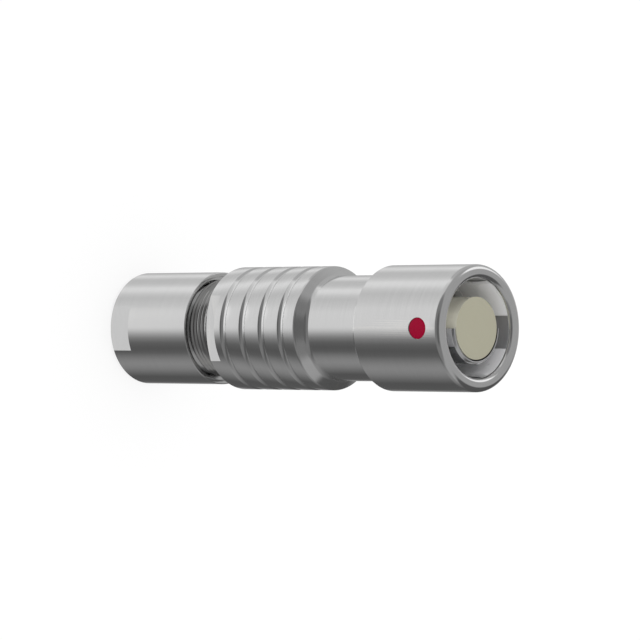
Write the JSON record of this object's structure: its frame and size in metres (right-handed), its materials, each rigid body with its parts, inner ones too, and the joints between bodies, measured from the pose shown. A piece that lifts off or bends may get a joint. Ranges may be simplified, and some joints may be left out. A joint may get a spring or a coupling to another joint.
{
  "type": "circular push-pull connector",
  "caption": "In-line socket half of a circular push-pull connector with half-moon keyed insert, grooved grip and collet back nut for a cable.",
  "frame": {"origin": "centre of the back nut's rear face, where the cable enters", "axes": "+Z along the mating axis towards the open mouth, -Y towards the alignment dot, +X towards the half-moon key"},
  "size_m": [0.013, 0.013, 0.0475],
  "materials": {
    "plated_metal": "satin",
    "red_enamel": "gloss",
    "beige_plastic": "matt",
    "gold_plated": "polished",
    "seal_rubber": "matt"
  },
  "bodies": {
    "shell": {"outer_shell": "plated_metal", "key_half_shell": "plated_metal", "plain_half_shell": "plated_metal", "screen_cone": "plated_metal", "thrust_washer": "plated_metal", "earthing_crown": "plated_metal", "alignment_dot": "red_enamel", "insert": "beige_plastic", "front_seal": "seal_rubber", "carrier_seal": "seal_rubber", "cable_seal": "seal_rubber", "contact_1": "gold_plated", "contact_2": "gold_plated", "contact_3": "gold_plated", "contact_4": "gold_plated", "contact_5": "gold_plated", "contact_6": "gold_plated", "contact_7": "gold_plated"},
    "collet": {"collet": "plated_metal"},
    "nut": {"back_nut": "plated_metal"}
  },
  "joints": [
    {"name": "nut_advance", "type": "slide", "parent": "shell", "child": "collet", "axis": [0, 0, 1], "range_m": [-0.005, 0.00275]},
    {"name": "nut_turn", "type": "hinge", "parent": "collet", "child": "nut", "pos_m": [0, 0, 0], "axis": [0, 0, 1], "range_deg": [-3599, 1979]}
  ],
  "couplings": [
    {"joint": "nut_advance", "follows": "nut_turn", "m_per_rad": 0.000079577}
  ]
}
